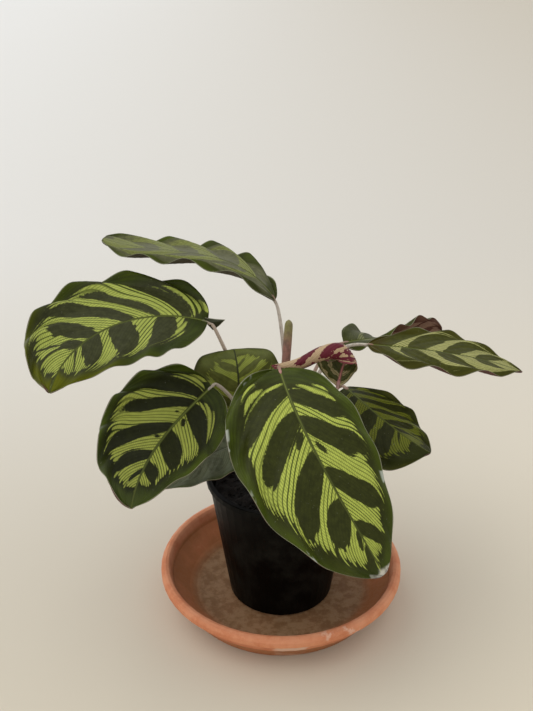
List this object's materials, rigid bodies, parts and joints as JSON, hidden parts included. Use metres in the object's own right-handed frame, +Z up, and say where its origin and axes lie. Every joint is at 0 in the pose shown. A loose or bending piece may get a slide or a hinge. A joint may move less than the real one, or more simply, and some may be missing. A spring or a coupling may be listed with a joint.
{
  "type": "potted plant",
  "caption": "Potted prayer plant with broad patterned leaves on thin stalks, in a tapered nursery pot standing in a round clay saucer.",
  "frame": {"origin": "centre of the saucer's underside", "axes": "+Z up; +Y away from the viewer of the picture, +X to the right in the picture"},
  "size_m": [0.3322, 0.2592, 0.2424],
  "materials": {
    "clay": "unglazed terracotta, matt and slightly dusty",
    "black_plastic": "thin moulded plastic, satin",
    "potting_soil": "dark crumbly peat",
    "leaf_blade": "yellow-green between dark green ovals on top, purple-brown below, satin sheen",
    "leaf_stalk": "smooth pinkish brown",
    "young_leaf": "half rolled: maroon and cream outside, olive green inside",
    "bud_sheath": "olive to brown-pink"
  },
  "bodies": {
    "root": {"saucer": "clay", "nursery_pot": "black_plastic", "soil": "potting_soil", "front_blade": "leaf_blade", "front_stalk": "leaf_stalk", "upper_left_blade": "leaf_blade", "upper_left_stalk": "leaf_stalk", "middle_left_blade": "leaf_blade", "middle_left_stalk": "leaf_stalk", "low_left_blade": "leaf_blade", "low_left_stalk": "leaf_stalk", "top_blade": "leaf_blade", "top_stalk": "leaf_stalk", "back_blade": "leaf_blade", "back_stalk": "leaf_stalk", "right_blade": "leaf_blade", "right_stalk": "leaf_stalk", "right_behind_blade": "leaf_blade", "right_behind_stalk": "leaf_stalk", "lower_right_blade": "leaf_blade", "lower_right_stalk": "leaf_stalk", "young_blade": "young_leaf", "young_stalk": "leaf_stalk", "bud_spear": "bud_sheath"}
  },
  "joints": []
}
